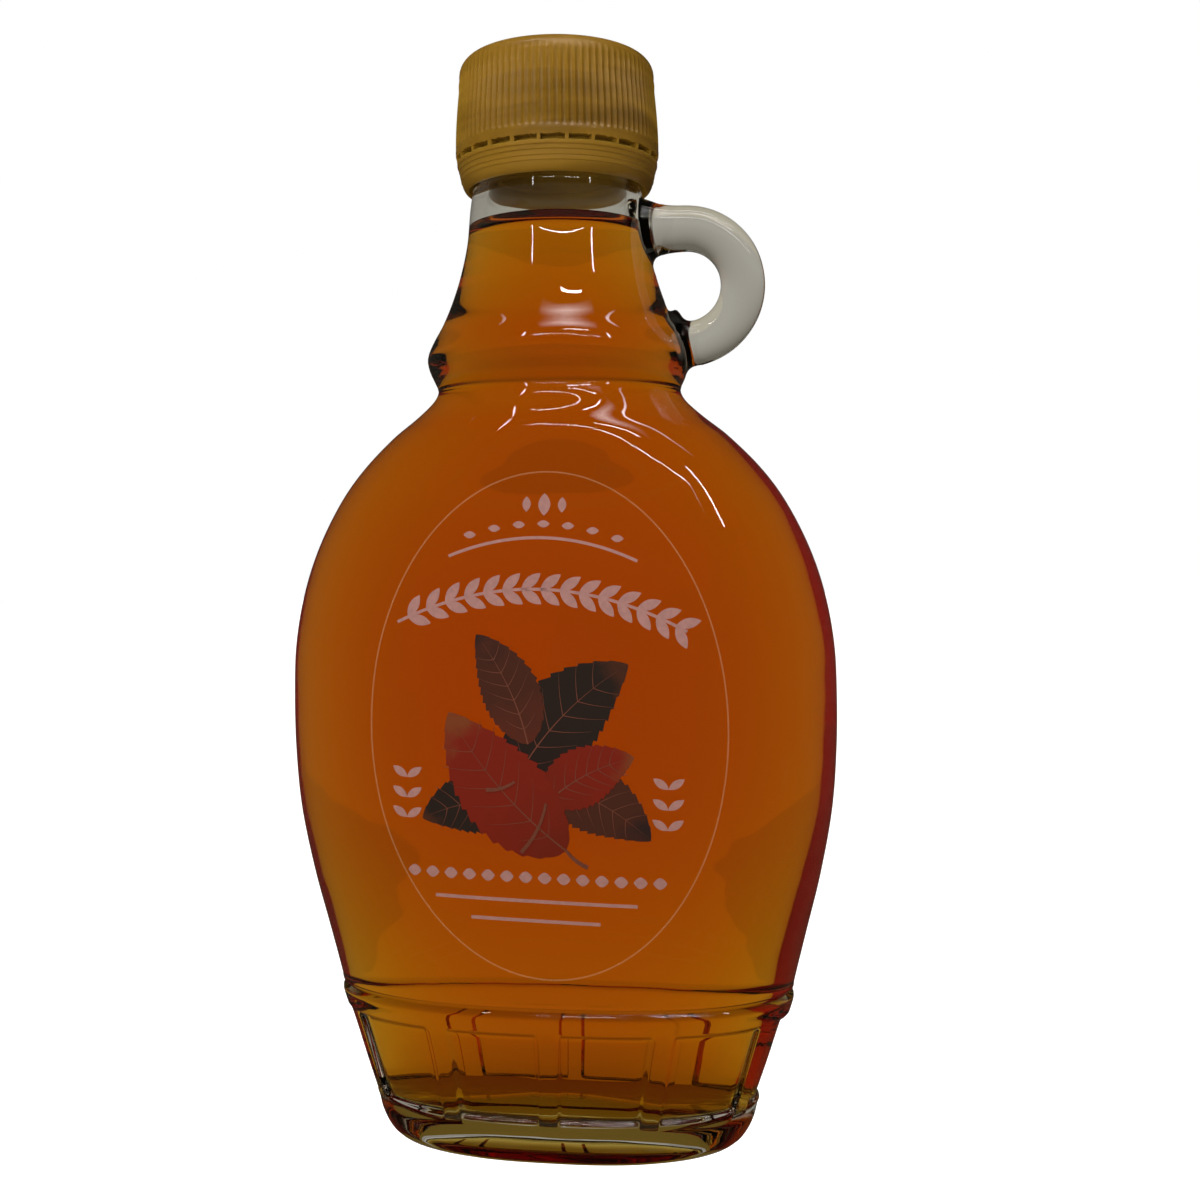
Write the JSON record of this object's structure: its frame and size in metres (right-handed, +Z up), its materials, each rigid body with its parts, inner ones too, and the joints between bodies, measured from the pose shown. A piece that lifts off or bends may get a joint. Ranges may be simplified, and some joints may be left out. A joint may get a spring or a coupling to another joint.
{
  "type": "maple syrup jug",
  "caption": "Flat oval clear glass jug with a small ring handle, full of amber syrup under a gold ribbed screw cap with its tamper band.",
  "frame": {"origin": "the middle of the foot, on the surface that the jug stands on", "axes": "+Z up along the neck, -Y towards the printed front, +X towards the ring handle"},
  "size_m": [0.0854, 0.0442, 0.1684],
  "materials": {
    "clear_glass": "smooth clear bottle glass, faintly grey green at its edges",
    "syrup": "clear amber syrup, deep orange brown where it is thick and yellower at the edges",
    "gold_plastic": "semi-gloss gold coloured plastic with fine ribs",
    "print_ink": "pale lilac grey ink on a clear film",
    "print_leaf": "printed leaves in red, brown and ochre"
  },
  "bodies": {
    "root": {"glass": "clear_glass", "syrup": "syrup", "cap": "gold_plastic"}
  },
  "joints": []
}
